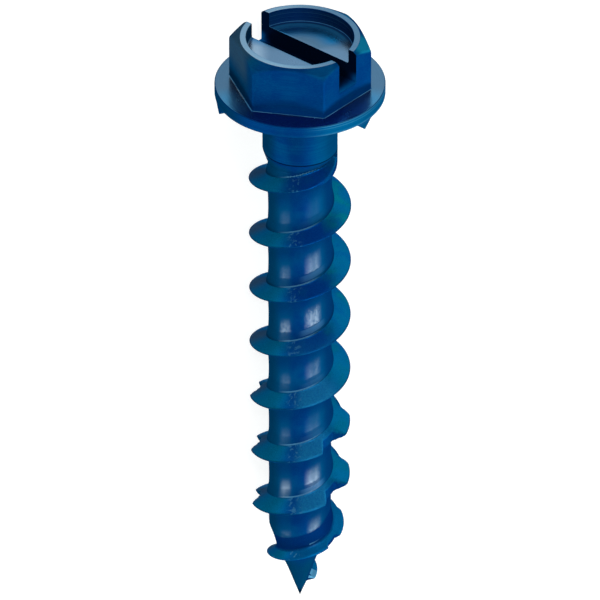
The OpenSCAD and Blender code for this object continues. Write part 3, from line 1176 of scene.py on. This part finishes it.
def floor_material(setup):
    """White floor: a matt grey that keeps the shadow, lifted to white where the camera or a reflection sees
    it."""
    material = bpy.data.materials.new("white_floor")
    shader = Shader(material)
    rays = ("Is Camera Ray", "Is Glossy Ray", "Is Transmission Ray")
    seen = sum(shader.node("ShaderNodeLightPath", output=ray) for ray in rays).clamp()
    matt = shader.node("ShaderNodeBsdfDiffuse", None, {"Color": rgba([setup.floor_grey] * 3)})
    lift = shader.node("ShaderNodeEmission", None, {
        "Color": rgba((1, 1, 1)), "Strength": setup.floor_lift * seen})
    both = shader.node("ShaderNodeAddShader", None, {0: matt, 1: lift})
    shader.node("ShaderNodeOutputMaterial", None, {"Surface": both})
    return material


def read(items, field):
    """One vector of each item, as rows."""
    values = np.zeros(len(items) * 3, np.float32)
    items.foreach_get(field, values)
    return values.reshape(-1, 3)


def angle_round(x, y):
    """Angle round the shank, from the right over the front."""
    return -np.arctan2(y, x) % (2 * math.pi)


def face_masks(centre, level, size):
    """Masks of the faces from their middles and how far they face up: the head's level faces, the slot, the
    painted highlights (along the feet of the hex, the recess wall and the flanks, and on the thread's cut
    end) and the recess wall."""
    x, y, z = centre.T
    reach = np.hypot(x, y)
    turn = flat_turn(size)
    off_slot = np.abs(y * math.cos(turn) - x * math.sin(turn))
    slot_bottom = size.head_height - size.slot_depth - size.edge_round
    slot = (off_slot < size.slot_width / 2 + 0.2 * size.edge_round) & (z > slot_bottom)
    inside_rim = reach < size.flange_diameter / 2 - size.flange_round
    top_faces = (level > 0.97) & (z > size.flange_thickness / 2) & inside_rim & ~slot

    recess_floor = size.head_height - size.recess_depth
    hex_foot = np.abs(z - size.flange_thickness) < size.hex_foot_fillet
    hex_foot = hex_foot & (reach < 0.45 * size.flange_diameter)
    wall_foot = (np.abs(z - recess_floor) < size.recess_fillet) & (reach < size.recess_diameter / 2)
    # Painted highlights along the fillets at the feet of the hex and of the recess wall.
    head_highlights = (level > 0.15) & (level < 0.85) & (hex_foot | wall_foot) & ~slot

    _, turns, above = thread_place(angle_round(x, y), z, size)
    foot = flank_foot(turns, above, z, size)
    left_to_end = last_turn(size) - turns
    threaded = (turns > 0.05) & (left_to_end > 0) & (z < -size.collar_length)
    # Painted highlight lines at the foot of each flank, toward the front.
    strip = np.abs(above - foot - 0.4 * size.foot_step) < 0.5 * size.foot_step
    strip = strip & threaded & (left_to_end > 0.83)
    off_front = np.abs(x) / np.maximum(reach, NEAR_AXIS)
    flank_highlights = strip * (1 - ease((off_front - 0.2) / 0.5))
    # The thread's cut end takes a painted highlight.
    cut_reach = 0.55 * MM
    cut_end = threaded & (left_to_end < 0.06) & (reach > cut_reach)
    cut_end = cut_end & (above > -0.1 * foot) & (above < 1.1 * foot)
    foot_lines = 0.6 * head_highlights + 0.85 * flank_highlights + 1.3 * cut_end

    recess_wall = (np.abs(level) < 0.5) & (z > recess_floor) & (reach < size.rim_diameter / 2) & ~slot
    return top_faces, slot, foot_lines, recess_wall


def point_masks(points, facing, size):
    """Masks of the points from their places and how far they face up: the flanks, the root, the chamfer at
    the hex corners, the band beside the last flank, how far each lies to the right and to the front, and its
    share of the way from one crest to the next above."""
    x, y, z = points.T
    radius = np.hypot(x, y)
    side = x / np.maximum(radius, NEAR_AXIS)
    front = -y / np.maximum(radius, NEAR_AXIS)
    below_collar = z < -size.collar_length
    # Flanks face the head; the teal laid on them is partly painted light from above.
    flanks = below_collar * ease((facing - 0.3) / 0.4)
    in_root = 1 - ease((radius - 0.54 * size.root_diameter) / (0.05 * size.root_diameter))
    root = below_collar * (1 - flanks) * in_root

    # The chamfer at the hex corners, which takes painted light.
    corner = 2 * hex_radius(np.arctan2(y, x) - flat_turn(size), size) / size.hex_across_flats
    beside_rim = (z > size.head_height - size.slot_depth) & (radius > 1.003 * size.rim_diameter / 2)
    chamfer = beside_rim * ease((corner - 1.015) / 0.06) * ease((facing - 0.1) / 0.5)
    chamfer = chamfer * (0.17 + 0.83 * ease((np.abs(side) - 0.6) / 0.3))

    _, turns, above = thread_place(angle_round(x, y), z, size)
    left_to_end = last_turn(size) - turns
    # The band beside the last flank, which takes painted shade.
    within = flank_foot(turns, above, z, size) + 2 * size.foot_band - above
    last_band = root * (1 - flanks) * (above > 0) * ease(within / (0.15 * size.foot_band))
    last_band = last_band * ease((1.3 - left_to_end) / 0.2) * (left_to_end > 0.3)
    gap = above / size.thread_pitch % 1
    return flanks, root, chamfer, last_band, side, front, gap


class CONCRETE_SCREW_OT_screw(bpy.types.Operator):
    """Build the screw as one closed mesh with its coating"""

    bl_idname = "concrete_screw.screw"
    bl_label = "Screw"

    def execute(self, context):
        size = context.scene.screw_sizes
        skin = Skin()
        turn = flat_turn(size)
        ends = [half_head(skin, size, turn), half_head(skin, size, turn + math.pi)]
        slot_floor(skin, size, ends)
        lower_screw(skin, size)
        screw = bpy.data.objects.new("coated_screw", skin.mesh("coated_screw"))
        context.scene.collection.objects.link(screw)
        self.mark(screw.data, size)
        screw.data.materials.append(coating_material(context.scene.coating_look))
        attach(screw, "root")
        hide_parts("screw")
        return {"FINISHED"}

    @staticmethod
    def mark(mesh, size):
        """Stores the coating's masks with the mesh, and each point's radius and height for turned marks."""
        turn, origin = placement()
        turn = np.array(turn)
        centre = (read(mesh.polygons, "center") - origin) @ turn
        level = read(mesh.polygons, "normal") @ turn[:, 2]
        points = (read(mesh.vertices, "co") - origin) @ turn
        facing = read(mesh.vertex_normals, "vector") @ turn[:, 2]
        stored = (
            ("FACE", FACE_MASKS, face_masks(centre, level, size)),
            ("POINT", POINT_MASKS, point_masks(points, facing, size)),
        )
        for domain, names, masks in stored:
            for name, mask in zip(names, masks):
                values = mask.astype(np.float32)
                mesh.attributes.new(name, "FLOAT", domain).data.foreach_set("value", values)
        radius = np.hypot(points[:, 0], points[:, 1])
        lathe = np.column_stack([radius, points[:, 2], 0 * radius]).astype(np.float32)
        mesh.attributes.new("lathe", "FLOAT_VECTOR", "POINT").data.foreach_set("vector", lathe.ravel())


def stand(setup, across, toward, distance):
    """Placement of something that faces the picture's middle from a distance: across and toward are its x
    and z axes in the screw's own frame."""
    turn, origin = placement()
    target = origin + turn @ Vector((0, 0, -setup.view_centre))
    axes = [turn @ axis for axis in (across, toward.cross(across), toward)]
    return Matrix.Translation(target + axes[2] * distance) @ Matrix(axes).transposed().to_4x4()


class CONCRETE_SCREW_OT_stage(bpy.types.Operator):
    """Set up the camera, the white floor, the room and the lamps"""

    bl_idname = "concrete_screw.stage"
    bl_label = "Stage"

    def execute(self, context):
        setup = context.scene.studio_setup
        self.camera(context, setup)
        self.floor(context, setup)
        self.room(context, setup)
        self.lamps(context, setup)
        context.scene.view_settings.view_transform = "Standard"
        return {"FINISHED"}

    @staticmethod
    def camera(context, setup):
        """The photograph's view: down along the screw from above its head."""
        e = setup.view_elevation
        toward = Vector((0, -math.cos(e), math.sin(e)))
        camera = bpy.data.objects.new("camera", bpy.data.cameras.new("camera"))
        camera.data.lens = setup.lens
        camera.data.clip_start, camera.data.clip_end = 0.01, 10
        camera.matrix_world = stand(setup, Vector((1, 0, 0)), toward, setup.view_distance)
        context.scene.collection.objects.link(camera)
        context.scene.camera = camera

    @staticmethod
    def floor(context, setup):
        """A level square under the screw."""
        half = setup.floor_size / 2
        side = np.array([[-1, -1], [1, -1], [1, 1], [-1, 1]]) * half
        points = np.column_stack([side, np.full(4, CAD_BOX[0].z - FLOOR_DROP)])
        mesh = bpy.data.meshes.new("floor")
        mesh.from_pydata(points.tolist(), [], [[0, 1, 2, 3]])
        mesh.materials.append(floor_material(setup))
        floor = bpy.data.objects.new("floor", mesh)
        context.scene.collection.objects.link(floor)

    @staticmethod
    def room(context, setup):
        """Pale walls at the horizon and a darker ceiling."""
        world = bpy.data.worlds.new("room")
        context.scene.world = world
        shader = Shader(world)
        direction = shader.node("ShaderNodeTexCoord", output="Generated")
        height = shader.node("ShaderNodeSeparateXYZ", None, {0: direction}, output=2)
        horizon, overhead = 0.05, 0.45
        strength = shader.node("ShaderNodeMapRange", {"interpolation_type": "SMOOTHSTEP"}, {
            "Value": height, "From Min": horizon, "From Max": overhead,
            "To Min": setup.walls, "To Max": setup.sky})
        light = shader.node("ShaderNodeBackground", None, {"Color": rgba((1, 1, 1)), "Strength": strength})
        shader.node("ShaderNodeOutputWorld", None, {"Surface": light})

    @staticmethod
    def lamps(context, setup):
        """Soft panels, each placed by its turn round the screw from the viewer's side and its rise."""
        for name, row in PANELS.items():
            for i in range(row["count"]):
                numbered = f"{name}_{i}" if row["count"] > 1 else name
                lamp = bpy.data.lights.new(numbered, "AREA")
                lamp.shape = "RECTANGLE"
                lamp.size, lamp.size_y = row["width"], row["height"]
                lamp.energy = row["brightness"] * math.pi * row["width"] * row["height"]
                lamp.color = row["colour"]
                panel = bpy.data.objects.new(numbered, lamp)
                side, rise = math.radians(row["turn"] + i * row["step"]), math.radians(row["rise"])
                across = Vector((math.cos(side), math.sin(side), 0))
                ahead = Vector((math.sin(side), -math.cos(side), 0))
                toward = math.cos(rise) * ahead + math.sin(rise) * Vector((0, 0, 1))
                panel.matrix_world = stand(setup, across, toward, row["distance"])
                context.scene.collection.objects.link(panel)


class CONCRETE_SCREW_PT_sidebar(bpy.types.Panel):
    """Lists the steps that build the screw and its stage"""

    bl_idname = "CONCRETE_SCREW_PT_sidebar"
    bl_label = "Concrete screw"
    bl_space_type = "VIEW_3D"
    bl_region_type = "UI"
    bl_category = "Screw"

    def draw(self, context):
        for step in STEPS:
            self.layout.operator(step.bl_idname)


STEPS = (CONCRETE_SCREW_OT_stage, CONCRETE_SCREW_OT_screw)
GROUPS = {"screw_sizes": ScrewSizes, "coating_look": CoatingLook, "studio_setup": StudioSetup}
CLASSES = (*GROUPS.values(), *STEPS, CONCRETE_SCREW_PT_sidebar)


def register():
    for cls in CLASSES:
        bpy.utils.register_class(cls)
    for name, group in GROUPS.items():
        setattr(bpy.types.Scene, name, PointerProperty(type=group))


def unregister():
    for name in GROUPS:
        delattr(bpy.types.Scene, name)
    for cls in reversed(CLASSES):
        bpy.utils.unregister_class(cls)


def main():
    """Builds the stage and the screw."""
    register()
    bpy.ops.concrete_screw.stage()
    bpy.ops.concrete_screw.screw()


if __name__ == "__main__":
    main()
